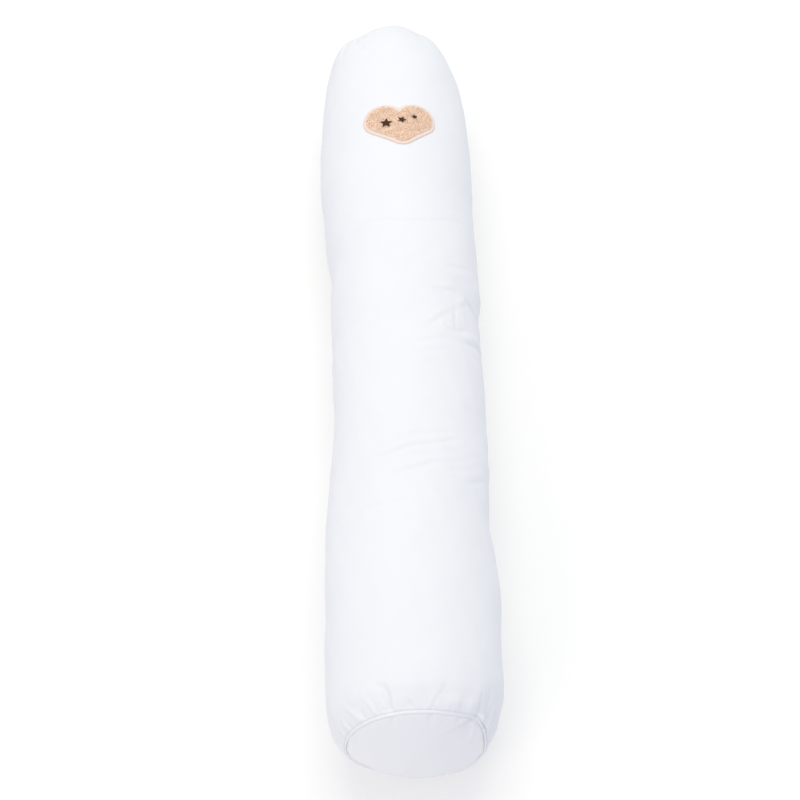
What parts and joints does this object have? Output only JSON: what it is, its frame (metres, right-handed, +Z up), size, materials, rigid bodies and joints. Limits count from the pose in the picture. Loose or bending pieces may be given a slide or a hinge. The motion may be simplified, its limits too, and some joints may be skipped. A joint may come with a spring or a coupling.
{
  "type": "baby bolster pillow",
  "caption": "Long round stuffed bolster in white woven cotton, gathered into a domed, topstitched end panel at each end, with a small terry patch sewn on top.",
  "frame": {"origin": "under the middle of the pillow, on the surface that it lies on", "axes": "+Z up, +Y along the bolster from its near end to its far end, where the patch is; +X to the right seen from the near end"},
  "size_m": [0.188, 1.012, 0.1765],
  "materials": {
    "white_cotton": "smooth plain-woven cotton, matt with a faint sheen",
    "panel_cotton": "smooth plain-woven cotton, matt with a faint sheen",
    "cream_cloth": "fine flat woven cloth, matt",
    "tan_terry": "short looped terry pile, matt"
  },
  "bodies": {
    "root": {"body": "white_cotton", "end_panel_near": "panel_cotton", "end_panel_far": "panel_cotton", "patch_base": "cream_cloth", "patch_pile": "tan_terry"}
  },
  "joints": []
}
